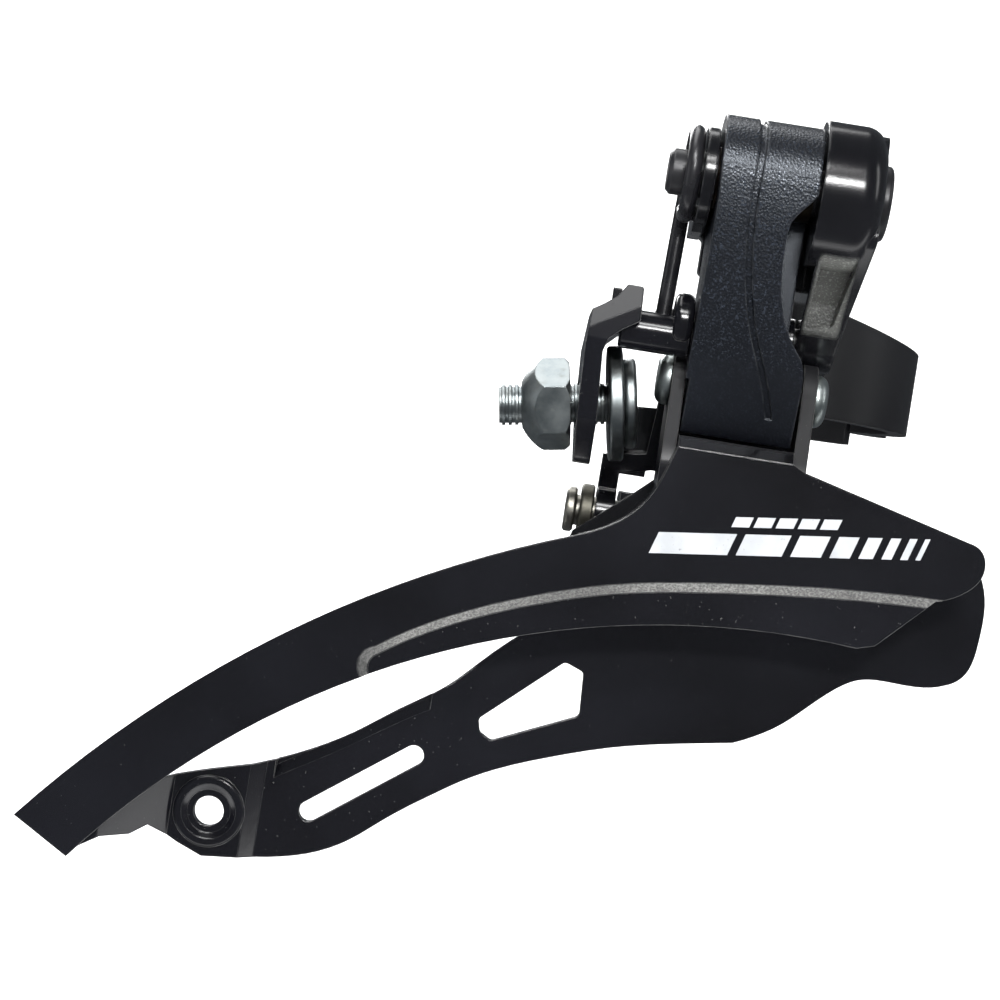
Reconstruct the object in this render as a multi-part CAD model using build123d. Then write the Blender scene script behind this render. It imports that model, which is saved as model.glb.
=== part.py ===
from build123d import *
import os
from math import cos, radians, sin

# A front derailleur in millimetres. The origin is the centre of the seat tube's clamp bore.
# +Z runs up along the seat tube, +X points to the front wheel and +Y points to the bicycle's middle,
# so the drive side, where the cage and the links are, is -Y. The mechanism rests in low gear.

# Seat tube clamp
tube_radius = 14.3
ring_radius = 16.7
ring_half_height = 5.9
ring_rear_height = 8.4
ring_slope_end = 4.9
band_bottom = -7.7
hinge_angle = 45
hinge_orbit = 18.6
knuckle_radius = 2.8
knuckle_half_height = 2.8
knuckle_clearance = 0.25
hinge_pin_radius = 1.25
hinge_head_radius = 1.8
split_angle = 220
split_gap = 1.2
lug_orbit = 20.6
lug_half_width = 3.1
lug_bottom = -0.6
lug_top = 5.2
lug_bolt_height = 2.3
bracket_lug_thickness = 3.5
band_lug_thickness = 3.0
clamp_bolt_radius = 2.0
clamp_head_radius = 3.4
clamp_head_length = 3.8
clamp_washer_radius = 3.7
clamp_washer_thickness = 0.8

# Pivot axes run along X; each is its Y and Z
pivot_a = (-45.0, 18.9)
pivot_b = (-39.0, -5.15)
pivot_c = (-35.5, 1.55)
pivot_d = (-29.5, -22.5)
running_clearance = 0.05

# Upper outboard pivot
pin_a_radius = 2.75
pin_a_rear = -22.3
boss_front = 2.9
disc_a_radius = 4.5
disc_a_thickness = 1.0
bush_a_radius = 3.7

# Fixed bracket
boss_rear = -4.6
boss_radius = 8.7
arm_rear = -3.5
rear_ear = (-18.3, -16.9)
rear_ear_radius = 5.8
bridge_back = -33.9
bridge_face = -36.9
lug_c_rear = (-15.8, -14.2)
lug_c_radius = 3.0
pin_c_radius = 1.9
pin_c_ends = (-16.0, -1.2)
limit_screw_x = -10.5
limit_screw_heights = (12.6, 22.2)
limit_screw_radius = 2.0
limit_boss_radius = 3.4

# Outer link
link_a_radius = 7.6
link_b_radius = 3.9
groove_width = 0.8
groove_depth = 0.55
scoop_floor = -42.4
bush_b_radius = 2.95
pin_b_radius = 2.0

# Arm shaft and cable arm
shaft_axis = (-44.0, -0.3)
shaft_radius = 2.4
shaft_ends = (-24.9, -16.5)
spigot_radius = 1.9
spigot_end = -12.5
collar_axis = (-44.0, 1.5)
collar_radius = 3.4
collar_ends = (-18.9, -16.55)
arm_bevel_rise = 30
anchor_point = (-26.7, -36.0, -9.5)
anchor_tilt = 9.5
anchor_radius = 2.5
anchor_hole_radius = 3.1
anchor_tip = -11.2
anchor_nut_ends = (-8.4, -2.6)
anchor_nut_flats = 9.8
nut_turn = 40
nut_dome_centre = -2.45
nut_dome_radius = 6.57
anchor_washer_ends = (2.0, 3.8)
anchor_washer_radius = 7.0
anchor_head_ends = (3.9, 5.4)
anchor_head_radius = 5.5

# Return spring
wire_radius = 0.95
coil_x = -19.5
coil_mean_radius = 4.9
coil_turn = 300
elbow_radius = 1.0
spring_leg_end = -1.5

# Inner link
link_c_eye = (-14.0, -3.8)
rear_leg = (-24.1, -21.75)
front_leg = (-9.0, -6.6)
inner_link_thickness = 1.8
shield_front = -0.8  # the web's forward tab, which closes the gap over the cage's fold
shield_span = (10.4, 14.6)  # along the web, from the upper pivot
eye_d_radius = 3.3
pin_d_radius = 1.9
pin_d_ends = (-27.7, -3.6)
head_d_radius = 2.8
head_d_thickness = 1.25
washer_d_radius = 3.4
washer_d = (-25.95, -24.35)
ear_d_spans = ((-21.45, -19.95), (-5.8, -4.3))
ear_d_radius = 3.1

# Cage
plate_face = -48.0
plate_thickness = 1.4
step_depth = 1.2
step_slope = 1.3
inner_face = -37.0
inner_thickness = 1.5
rear_face = -37.9
tail_pad_face = -39.3
flange_drop = 0.9
flange_slope = 1.5
fold_height = -13.25
fold_crest = -11.9
ear_b_rear = (-17.8, -16.2)
ear_b_front = (-2.2, -0.5)
ear_b_radius = 4.2
head_b_radius = 3.2
head_b_height = 1.6
bridge_tab_thickness = 1.4
rivet_x = (-13.4, -8.4)
rivet_height = -20.5
rivet_radius = 1.5
rivet_hole_radius = 1.53
tail_rivet_spot = (-80.6, -67.6)
tail_hole_radius = 1.8
tail_hole = (-64.6, -65.3)
tail_boss_radius = 4.3
tail_boss_height = 0.5


def facing(y):
    """A sketch plane across Y: sketch x is X and sketch y is Z."""
    return Plane(origin=(0, y, 0), x_dir=(1, 0, 0), z_dir=(0, -1, 0))


def side(x):
    """A sketch plane across X: sketch x is Y and sketch y is Z."""
    return Plane(origin=(x, 0, 0), x_dir=(0, 1, 0), z_dir=(1, 0, 0))


def slab_y(sketch, near, far):
    """Extrude an X-Z sketch between two Y values."""
    return extrude(facing(far) * sketch, far - near)


def slab_x(sketch, low, high):
    """Extrude a Y-Z sketch between two X values."""
    return extrude(side(low) * sketch, high - low)


def slab_z(sketch, low, high):
    """Extrude an X-Y sketch between two heights."""
    return extrude(Plane.XY.offset(low) * sketch, high - low)


def disc(centre, radius):
    """A circle in a sketch plane."""
    return Pos(*centre) * Circle(radius)


def rod_x(radius, ends, centre):
    """A round bar along X about a pivot axis."""
    return slab_x(disc(centre, radius), *ends)


def rounded(points, radius):
    """A polygon whose corners all have one radius."""
    shape = make_face(Polyline(*points, close=True))
    return fillet(shape.vertices(), radius)


def block(x, y, z):
    """A box between pairs of X, Y and Z."""
    size = [pair[1] - pair[0] for pair in (x, y, z)]
    middle = [(pair[1] + pair[0]) / 2 for pair in (x, y, z)]
    return Pos(*middle) * Box(*size)


def polar(radius, angle):
    """A point in the X-Y plane."""
    return (radius * cos(radians(angle)), radius * sin(radians(angle)))


def sector(radius, start, end):
    """A pie slice in the X-Y plane, from one angle to a larger one."""
    step = (end - start) / 8
    rim = [polar(radius, start + step * i) for i in range(9)]
    return make_face(Polyline((0, 0), *rim, close=True))


def hinge_centre():
    return polar(hinge_orbit, hinge_angle)


def bolt_frame():
    """A frame at the clamp bolt: its z runs from the bracket's lug towards the band's lug."""
    x, y = polar(lug_orbit, split_angle + 3)
    hinge_x, hinge_y = hinge_centre()
    along = Vector(y - hinge_y, hinge_x - x, 0).normalized()
    return Plane(origin=(x, y, lug_bolt_height), x_dir=(0, 0, 1), z_dir=along)


def clamp_lug(near, far):
    """A rounded lug across the clamp bolt, joined to the ring, between two places along the bolt."""
    frame = bolt_frame()
    reach = lug_orbit - tube_radius
    low = lug_bottom - lug_bolt_height
    high = lug_top - lug_bolt_height
    pad = rounded(
        [(low, -lug_half_width), (high, -lug_half_width), (high, reach), (low, reach)], 1.0
    )
    outward = frame.to_local_coords(Vector(0, 0, lug_bolt_height)).Y
    if outward < 0:
        pad = mirror(pad, about=Plane.XZ)
    return extrude(frame.offset(near) * pad, far - near)


def bolt_rod(radius, near, far):
    """A round bar on the clamp bolt's axis."""
    return extrude(bolt_frame().offset(near) * Circle(radius), far - near)


def ring_part(start, end, bottom, height):
    """Part of the clamp's ring between two angles and two heights."""
    ring = slab_z(Circle(ring_radius) - Circle(tube_radius), bottom, height)
    return ring & slab_z(sector(40, start, end), bottom - 1, height + 1)


def knuckle(low, high):
    """A hinge barrel of the clamp between two heights, with a web to the ring."""
    x, y = hinge_centre()
    return slab_z(Pos(x, y) * Circle(knuckle_radius), low, high)


def hinge_hole(radius):
    x, y = hinge_centre()
    return slab_z(Pos(x, y) * Circle(radius), -20, 20)


def make_bracket_ring():
    """The outboard half of the clamp, higher towards the links than at its front."""
    start = split_angle - 360 + 2.2
    half = ring_part(start, hinge_angle - 1.5, -ring_half_height, ring_rear_height)
    slope = make_face(
        Polyline(
            (-30, ring_rear_height), (1.5, ring_rear_height), (ring_radius, ring_slope_end),
            (30, ring_slope_end), (30, 30), (-30, 30), close=True,
        )
    )
    rear_cut = block((-30, -8.5), (-30, 0), (ring_half_height, 30))
    half = half - slab_y(slope, -40, 40) - rear_cut
    half = half - slab_z(Circle(tube_radius), -30, 30)
    x, y = hinge_centre()
    relief = Pos(x, y) * Circle(knuckle_radius + knuckle_clearance)
    half = half - slab_z(relief, -knuckle_half_height - 0.1, knuckle_half_height + 0.1)
    top = knuckle(knuckle_half_height + 0.1, ring_slope_end)
    bottom = knuckle(-ring_half_height, -knuckle_half_height - 0.1)
    lug = clamp_lug(-split_gap / 2 - bracket_lug_thickness, -split_gap / 2)
    lug = lug - slab_z(Circle(tube_radius), -30, 30)
    return half + top + bottom + lug


def bracket_arm_profile():
    """The arm seen along X: from the boss at the upper pivot down to the clamp's ring."""
    edge = make_face(
        Polyline(
            (-47.5, 26.9), (-40.5, 25.6), (-30.0, 20.5), (-19.0, 11.0), (-14.8, 9.6), (-14.8, -5.9),
            (-18.5, -5.9), (-27.0, -3.6), (-34.0, -1.0), (-38.0, 0.2), (-42.5, 5.5), (-51.4, 13.6),
            close=True,
        )
    )
    return fillet(edge.vertices().sort_by(Axis.X)[:2], 2.0) + disc(pivot_c, lug_c_radius)


def make_bracket_arm():
    """The cast front arm with its glossy boss and the sunken panel below it."""
    arm = slab_x(bracket_arm_profile(), arm_rear, boss_front)
    boss = rod_x(boss_radius, (boss_rear, boss_front), pivot_a)
    boss = fillet(boss.edges().filter_by(GeomType.CIRCLE).sort_by(Axis.X)[-1:], 2.8)
    taper = make_face(Polyline((3.3, 17.0), (0.6, -6.5), (12, -6.5), (12, 17.0), close=True))
    panel = rounded([(-2.9, 3.0), (-2.9, 12.3), (1.2, 13.2), (1.2, 10.0), (0.3, 3.9)], 0.6)
    deeper = make_face(
        Polyline((-60, 14), (-46.5, 14), (-39.4, 6.6), (-38.9, 2.0), (-60, 2.0), close=True)
    )
    arm = arm - slab_y(taper, -60, -14.5) - block((0.8, 12), (-43.5, -14.5), (17.0, 30))
    arm = arm - (slab_y(panel, -60, -30) & slab_x(deeper, -6, 4))
    return arm + boss


def make_bracket_bridge():
    """The wall behind the outer link, with the rear ear, the rear lug and the limit screws' bosses."""
    wall = slab_y(
        rounded(
            [(-18.3, 13.6), (-16.4, 12.2), (-16.4, 8.0), (-2.0, 8.0), (-2.0, 24.5), (-17.0, 24.5),
             (-18.3, 23.0)], 0.6
        ),
        bridge_face, bridge_back,
    )
    ear_block = make_face(
        Polyline((-45.0, 13.1), (-45.0, 24.7), (-35.0, 24.5), (-34.0, 23.5), (-34.0, 12.4), (-43.0, 12.4),
                 close=True)
    )
    ear = slab_x(ear_block + disc(pivot_a, rear_ear_radius), *rear_ear)
    lug_neck = make_face(
        Polyline((-38.5, 1.55), (-36.9, 9.0), (-33.9, 9.0), (-32.5, 1.55), close=True)
    )
    lug = slab_x(lug_neck + disc(pivot_c, lug_c_radius), *lug_c_rear)
    bridge = wall + ear + lug
    for height in limit_screw_heights:
        boss = slab_y(disc((limit_screw_x, height), limit_boss_radius), bridge_back - 0.5, -30.9)
        bridge = bridge + boss
    return bridge


def make_main_bracket():
    body = make_bracket_ring() + make_bracket_arm() + make_bracket_bridge()
    body = body - slab_z(Circle(tube_radius), -40, 40)
    body = body - rod_x(pin_a_radius + running_clearance, (-30, 10), pivot_a)
    body = body - rod_x(pin_c_radius + running_clearance, (-20, 0), pivot_c)
    body = body - rod_x(wire_radius + 0.1, (-19, rear_ear[1] + 1), coil_end())
    body = body - hinge_hole(hinge_pin_radius + running_clearance)
    body = body - bolt_rod(clamp_bolt_radius + 0.25, -8, 0)
    for height in limit_screw_heights:
        hole = disc((limit_screw_x, height), limit_screw_radius + running_clearance)
        body = body - slab_y(hole, -38, -30)
    return body


def make_clamp_band():
    """The inboard half of the clamp, with the middle knuckle and the threaded lug."""
    band = ring_part(hinge_angle + 1.5, split_angle - 2.2, band_bottom, ring_half_height)
    x, y = hinge_centre()
    relief = Pos(x, y) * Circle(knuckle_radius + knuckle_clearance)
    band = band - slab_z(relief, knuckle_half_height - 0.1, 30)
    band = band - slab_z(relief, -30, -knuckle_half_height + 0.1)
    barrel = knuckle(-knuckle_half_height + 0.1, knuckle_half_height - 0.1)
    lug = clamp_lug(split_gap / 2, split_gap / 2 + band_lug_thickness)
    band = band + barrel + lug
    band = band - slab_z(Circle(tube_radius), -40, 40)
    band = band - hinge_hole(hinge_pin_radius + running_clearance)
    return band - bolt_rod(clamp_bolt_radius + 0.25, 0, 8)


def make_hinge_pin():
    x, y = hinge_centre()
    shank = slab_z(Pos(x, y) * Circle(hinge_pin_radius), -ring_half_height, ring_slope_end + 0.6)
    head = slab_z(Pos(x, y) * Circle(hinge_head_radius), ring_slope_end + 0.05, ring_slope_end + 0.8)
    return chamfer((shank + head).edges().group_by(Axis.Z)[-1], 0.3)


def make_clamp_bolt():
    """A cap screw whose head is on the bracket's side."""
    seat = -split_gap / 2 - bracket_lug_thickness - clamp_washer_thickness - 0.1
    shank = bolt_rod(clamp_bolt_radius, seat, split_gap / 2 + band_lug_thickness)
    head = bolt_rod(clamp_head_radius, seat - clamp_head_length, seat)
    head = chamfer(head.edges().filter_by(GeomType.CIRCLE), 0.35)
    key = bolt_frame().offset(seat - clamp_head_length - 0.1) * RegularPolygon(1.75, 6)
    return head + shank - extrude(key, 2.3)


def make_clamp_washer():
    far = -split_gap / 2 - bracket_lug_thickness - 0.05
    washer = bolt_rod(clamp_washer_radius, far - clamp_washer_thickness, far)
    return washer - bolt_rod(clamp_bolt_radius + 0.2, -20, 20)


def make_upper_pivot_pin():
    pin = rod_x(pin_a_radius, (pin_a_rear, boss_front + 0.2), pivot_a)
    pin = chamfer(pin.edges().filter_by(GeomType.CIRCLE).sort_by(Axis.X)[:1], 0.5)
    flange = (boss_front + 0.15, boss_front + 0.15 + disc_a_thickness)
    head = rod_x(disc_a_radius, flange, pivot_a)
    head = fillet(head.edges().filter_by(GeomType.CIRCLE).sort_by(Axis.X)[-1:], 0.5)
    return pin + head


def make_bush(outer, inner, ends, centre):
    return rod_x(outer, ends, centre) - rod_x(inner, (ends[0] - 1, ends[1] + 1), centre)


def limit_screw(height):
    """A slotted limit screw that enters the bridge from the inboard side."""
    spot = (limit_screw_x, height)
    shank = slab_y(disc(spot, limit_screw_radius), -37.4, -30.8)
    head = slab_y(disc(spot, 3.1), -30.8, -28.6)
    head = chamfer(head.edges().filter_by(GeomType.CIRCLE).sort_by(Axis.Y)[-1:], 0.4)
    slot = block((spot[0] - 4, spot[0] + 4), (-29.5, -28), (height - 0.4, height + 0.4))
    return shank + head - slot


def outer_link_profile(inset):
    """The outer link seen along X, drawn inset by a chosen depth on its outboard face."""
    outboard = Spline(
        (pivot_a[0] - link_a_radius + inset, pivot_a[1] + 1.0),
        (-51.6 + inset, 11.0), (-49.4 + inset, 2.0), (-46.9 + inset, -5.0), (-43.6 + inset, -11.4),
        tangents=[(0, -1), (0.5, -0.9)],
    )
    rest = Polyline(
        outboard @ 1, (-41.0, -10.2), (pivot_b[0] + 1.5, pivot_b[1]), (-39.4, 1.0), (-39.4, 9.0),
        (pivot_a[0] + link_a_radius - 0.4, pivot_a[1]), (pivot_a[0], pivot_a[1] + 2), outboard @ 0,
    )
    body = make_face(outboard + rest)
    return body + disc(pivot_a, link_a_radius - inset) + disc(pivot_b, link_b_radius - inset)


def outer_link_front():
    """The outer link seen along Y, with a shoulder that widens its lower half."""
    shoulder = Spline((-4.9, 0.6), (-3.5, -1.1), (-2.8, -3.5))
    rest = Polyline(
        shoulder @ 1, (-2.7, -12.0), (-16.3, -12.0), (-16.45, -3.0), (-16.3, 8.7), (-16.3, 16.0),
        (-16.5, 20.0), (-16.5, 28.0), (-4.9, 28.0), shoulder @ 0,
    )
    return make_face(shoulder + rest)


def link_scoop():
    """The hollow swept out of the outer link's front edge, in X and Z."""
    sweep = Spline(
        (-4.5, 18.2), (-6.0, 16.3), (-7.4, 14.3), (-7.7, 11.5), (-7.5, 8.0), (-6.8, 4.5), (-5.7, 2.0),
        (-3.3, -1.3),
    )
    return make_face(sweep + Polyline(sweep @ 1, (0, -1.3), (0, 18.2), sweep @ 0))


def groove_ribbon():
    """The curved line that divides the outer link's face, as a narrow ribbon in X and Z."""
    centre = [
        (-12.4, 28), (-12.0, 22.0), (-12.1, 18.0), (-12.0, 13.5), (-11.6, 9.4), (-10.8, 5.2), (-9.6, 1.2),
        (-8.2, -2.1), (-6.8, -5.6), (-5.9, -8.4),
    ]
    half = groove_width / 2
    left = Spline(*[(x - half, z) for x, z in centre])
    right = Spline(*[(x + half, z) for x, z in centre])
    return make_face(left + Line(left @ 1, right @ 1) + right + Line(right @ 0, left @ 0))


def make_outer_link():
    """The cast outer link with its groove, scoop and bores."""
    body = slab_x(outer_link_profile(0), -18, 0) & slab_y(outer_link_front(), -60, -30)
    core = slab_x(outer_link_profile(groove_depth), -18, 0)
    body = body - (slab_y(groove_ribbon(), -60, pivot_a[0] + 3) - core)
    body = body - slab_y(link_scoop(), -60, scoop_floor)
    ear_room = rod_x(ear_b_radius + 0.5, (-18, -15.95), pivot_b)
    below = block((-18, -15.95), (-60, -30), (-20, pivot_b[1]))
    body = body - ear_room - below
    body = body - (rod_x(lug_c_radius + 0.6, (-20, 0), pivot_c) & block((-20, 0), (-39, -30), (-3, 6)))
    body = body - rod_x(bush_a_radius, (-20, 0), pivot_a)
    body = body - rod_x(bush_b_radius, (-20, 0), pivot_b)
    return body - rod_x(spigot_radius + running_clearance, (-20, spigot_end + 0.5), shaft_axis)


def make_arm_shaft():
    """The round shaft that stands out of the outer link's rear face."""
    shaft = rod_x(shaft_radius, shaft_ends, shaft_axis)
    shaft = chamfer(shaft.edges().filter_by(GeomType.CIRCLE), 0.25)
    return shaft + rod_x(spigot_radius, (shaft_ends[1] - 0.5, spigot_end), shaft_axis)


def make_spring_collar():
    """A rounded pad that grips the shaft from above and rests against the link."""
    collar = rod_x(collar_radius, collar_ends, collar_axis)
    collar = fillet(collar.edges().filter_by(GeomType.CIRCLE), 0.8)
    return collar - rod_x(shaft_radius + 0.02, (-26, -10), shaft_axis)


def anchor_frame():
    """A frame at the cable anchor: its z runs along the anchor bolt, towards its head."""
    tilt = radians(anchor_tilt)
    return Plane(origin=anchor_point, x_dir=(0, 1, 0), z_dir=(cos(tilt), 0, sin(tilt)))


def anchor_rod(radius, near, far):
    return extrude(anchor_frame().offset(near) * Circle(radius), far - near)


def make_cable_arm():
    """The bent steel plate that carries the cable anchor."""
    edge = rounded(
        [(-28.6, 1.2), (-27.4, 1.95), (-25.9, 3.1), (-24.8, 4.8), (-22.9, 4.7), (-22.8, 0.5), (-24.8, -0.8),
         (-26.2, -2.1), (-26.6, -3.6), (-25.9, -12.0), (-25.8, -17.0), (-27.8, -17.0), (-28.3, -12.0),
         (-28.8, -3.0)], 0.35
    )
    face = make_face(
        Polyline((-48.0, -2.5), (-48.0, 5.5), (-38.5, 5.5), (-37.0, 2.0), (-29.5, -3.0), (-29.0, -11.5),
                 (-33.0, -16.8), (-39.0, -16.8), (-43.0, -11.5), close=True)
    )
    face = fillet(face.vertices(), 1.6)
    plate = slab_y(edge, -50, -25) & slab_x(face, -30, -20)
    bevel = make_face(Polyline((-52, -7.6), (-41, 8.35), (-41, 20), (-52, 20), close=True))
    rise = radians(arm_bevel_rise)
    plate = plate - extrude(side(-30) * bevel, 12, dir=(cos(rise), 0, sin(rise)))
    plate = plate + block((-26.3, -25.2), (-40.5, -39.2), (2.5, 4.6))
    plate = plate - rod_x(shaft_radius + 0.02, (shaft_ends[0] - 0.1, -20), shaft_axis)
    return plate - anchor_rod(anchor_hole_radius, -4, 4)


def make_anchor_bolt():
    """The anchor bolt, with its wide flat head towards the front and its thread's crests as fine rings."""
    shank = anchor_rod(anchor_radius - 0.25, anchor_tip, anchor_head_ends[0] + 0.2)
    crests = [anchor_tip + 0.35 + 0.8 * i for i in range(17)]
    for crest in crests:
        shank = shank + anchor_rod(anchor_radius, crest, crest + 0.42)
    head = anchor_rod(anchor_head_radius, *anchor_head_ends)
    head = fillet(head.edges().filter_by(GeomType.CIRCLE), 0.5)
    return shank + head


def make_cable_washer():
    washer = anchor_rod(anchor_washer_radius, *anchor_washer_ends)
    washer = fillet(washer.edges().filter_by(GeomType.CIRCLE), 0.35)
    return washer - anchor_rod(anchor_radius + 0.15, 0, 8)


def make_anchor_nut():
    """A hexagon nut with a domed outer end."""
    near, far = anchor_nut_ends
    hexagon = Rot(0, 0, nut_turn) * RegularPolygon(anchor_nut_flats / 2, 6, major_radius=False)
    nut = extrude(anchor_frame().offset(near) * hexagon, far - near)
    corner = anchor_nut_flats / 2 / cos(radians(30))
    barrel = anchor_rod(corner, near, far)
    inner_rim = barrel.edges().filter_by(GeomType.CIRCLE).sort_by(Axis.X)[-1:]
    nut = nut & chamfer(inner_rim, 0.6)
    nut = nut & (anchor_frame().offset(nut_dome_centre) * Sphere(nut_dome_radius))
    return nut - anchor_rod(anchor_radius + 0.06, near - 1, far + 1)


def coil_end():
    """Where the coil stops and the wire turns into the rear ear, in Y and Z."""
    angle = radians(coil_turn)
    return (pivot_a[0] + coil_mean_radius * cos(angle), pivot_a[1] + coil_mean_radius * sin(angle))


def make_return_spring():
    """One open coil round the upper pin, a long leg to the arm shaft and a short end in the ear."""
    axis_y, axis_z = pivot_a
    top = Vector(coil_x, axis_y + coil_mean_radius, axis_z)
    foot = Vector(coil_x - 0.5, axis_y + coil_mean_radius - 0.1, spring_leg_end)
    wire = Plane(origin=top, x_dir=(1, 0, 0), z_dir=(0, 0, 1)) * Circle(wire_radius)
    coil = revolve(wire, Axis((coil_x, axis_y, axis_z), (1, 0, 0)), coil_turn)
    leg = extrude(Plane(origin=top, z_dir=foot - top) * Circle(wire_radius), (foot - top).length)
    stub = slab_x(disc(coil_end(), wire_radius), coil_x, rear_ear[1])
    for elbow in (top, (coil_x, *coil_end())):
        coil = coil + Pos(*elbow) * Sphere(elbow_radius)
    return coil + leg + stub


def make_inner_link():
    """The inner link: one eye above, a web with a forward tab that clears the lower outboard pivot, and two legs."""
    down = Vector(0, pivot_d[0] - pivot_c[0], pivot_d[1] - pivot_c[1]).normalized()
    across = Vector(0, -down.Z, down.Y)
    if across.Y < 0:
        across = -across
    face = Plane(origin=(0, *pivot_c), x_dir=(1, 0, 0), z_dir=across)
    sign = 1 if face.to_local_coords(Vector(0, *pivot_d)).Y > 0 else -1
    span = (Vector(*pivot_d) - Vector(*pivot_c)).length
    corners = [
        (-13.8, 0), (-13.8, 7.5), (-18.4, 9.2), (-18.9, 16.4), (rear_leg[0], 17.2), (rear_leg[0], span),
        (rear_leg[1], span), (rear_leg[1], 19.4), (-18.0, 18.4), (front_leg[0], 18.0), (front_leg[0], span),
        (front_leg[1], span), (-5.0, 15.0), (-4.9, shield_span[1]), (shield_front, shield_span[1]),
        (shield_front, shield_span[0]), (-4.6, shield_span[0]), (-4.0, 0),
    ]
    web = make_face(Polyline(*[(x, sign * along) for x, along in corners], close=True))
    link = extrude(face * web, inner_link_thickness)
    apron = rounded([(-23.4, -17.0), (-23.4, -8.8), (-17.3, -8.4), (-17.6, -15.6), (-19.0, -17.0)], 0.6)
    link = link + slab_y(apron, -28.6, -27.2) + block((-23.2, -18.6), (-30.4, -27.4), (-17.2, -15.7))
    link = link + rod_x(lug_c_radius, link_c_eye, pivot_c)
    for leg in (rear_leg, front_leg):
        link = link + rod_x(eye_d_radius, leg, pivot_d)
    link = link - rod_x(bush_a_radius - 1.2, (-30, 0), pivot_c)
    return link - rod_x(pin_d_radius + running_clearance, (-30, 0), pivot_d)


def make_inner_upper_pin():
    pin = rod_x(pin_c_radius, pin_c_ends, pivot_c)
    return chamfer(pin.edges().filter_by(GeomType.CIRCLE), 0.25)


def make_inner_lower_pin():
    """The long headed pin of the inner link's lower pivot."""
    pin = rod_x(pin_d_radius, pin_d_ends, pivot_d)
    head = rod_x(head_d_radius, (pin_d_ends[0], pin_d_ends[0] + head_d_thickness), pivot_d)
    return pin + chamfer(head.edges().filter_by(GeomType.CIRCLE), 0.25)


def make_pivot_washer():
    washer = rod_x(washer_d_radius, washer_d, pivot_d)
    washer = chamfer(washer.edges().filter_by(GeomType.CIRCLE), 0.2)
    return washer - rod_x(pin_d_radius + 0.03, (-30, -20), pivot_d)


def domed_head(x, direction):
    """A low domed rivet head on the lower outboard pivot."""
    head = rod_x(head_b_radius, sorted((x, x + direction * head_b_height)), pivot_b)
    outer = head.edges().filter_by(GeomType.CIRCLE).sort_by(Axis.X)
    rim = outer[-1:] if direction > 0 else outer[:1]
    return fillet(rim, head_b_height * 0.8)


def make_lower_pivot_pin():
    shank = rod_x(pin_b_radius, (ear_b_rear[0] - 0.5, ear_b_front[1] + 0.5), pivot_b)
    rear = domed_head(ear_b_rear[0] - 0.05, -1)
    front = domed_head(ear_b_front[1] + 0.05, 1)
    return shank + rear + front


def cage_outline():
    """The outer plate's outline in X and Z."""
    top = ThreePointArc((-86.4, -68.2), (-59.4, -42.9), (-26.0, -25.3))
    flank = Spline(
        (-26.0, -25.3), (-22.6, -23.7), (-19.9, -21.6), (-18.0, -18.8), (-17.0, -16.2), (-16.1, fold_height)
    )
    fold = Polyline((-16.1, fold_height), (-2.5, fold_height), (-1.1, -14.0), (19.5, -19.2))
    nose = Spline((19.5, -19.2), (21.5, -20.7), (21.6, -22.7), (19.9, -25.0), (16.6, -26.6))
    chin = Polyline((16.6, -26.6), (15.6, -27.8), (10.5, -32.9), (8.4, -33.5))
    lower = ThreePointArc((8.4, -33.5), (-33.8, -39.2), (-79.6, -72.1))
    tail = Line((-79.6, -72.1), (-86.4, -68.2))
    return make_face(top + flank + fold + nose + chin + lower + tail)


def bead_band(drop):
    """The sunken band below the pressed step line, past the plate's lower edge; drop lowers the line."""
    points = [
        (-47.6, -42.0), (-41.4, -38.1), (-32.3, -34.0), (-21.6, -30.6), (-7.4, -28.2), (6.0, -26.8),
        (21.0, -26.2),
    ]
    bead = Spline(*[(x, z - drop) for x, z in points])
    rest = Polyline(bead @ 1, (21.0, -60), (-44.5 + drop, -60), (-48.4 + drop, -46.2))
    corner = ThreePointArc((-48.4 + drop, -46.2), (-49.4 + drop, -43.9 - drop / 2), bead @ 0)
    return make_face(bead + rest + corner)


def step_wedge(outer):
    """The band's volume through the step, its upper wall sloped; outer is its outboard Y."""
    bottom = facing(outer + step_depth) * bead_band(step_slope)
    return loft([facing(outer) * bead_band(0), bottom], ruled=True)


def cage_bridge():
    """The folded-over top of the outer plate: a strip along the flank and the fold."""
    under = Spline(
        (-25.6, -26.8), (-22.0, -25.1), (-18.8, -22.6), (-16.6, -19.3), (-15.5, -16.4), (-14.8, -14.65)
    )
    rest = Polyline(
        (-14.8, -14.65), (-2.7, -14.65), (-1.4, -15.4), (3.0, -16.5), (3.0, -10), (-30, -10), (-25.6, -26.8)
    )
    return slab_y(make_face(under + rest) & cage_outline(), plate_face, inner_face)


def fold_bevel():
    """The plate's bend above the fold line, leaning back from the outboard face."""
    crest = make_face(
        Polyline((plate_face, fold_height - 1.5), (plate_face, fold_height - 0.1), (-46.4, fold_crest),
                 (-45.4, fold_crest), (-44.0, fold_height), (-44.0, fold_height - 1.5), close=True)
    )
    return slab_x(crest, -16.1, -2.4)


def cage_ear(ends):
    """An ear that rises from the bridge to the lower outboard pivot."""
    foot = make_face(
        Polyline((-45.2, -15.2), (pivot_b[0] - ear_b_radius, pivot_b[1]),
                 (pivot_b[0] + ear_b_radius, pivot_b[1]), (inner_face, -15.2), close=True)
    )
    return slab_x(foot + disc(pivot_b, ear_b_radius), *ends)


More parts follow.
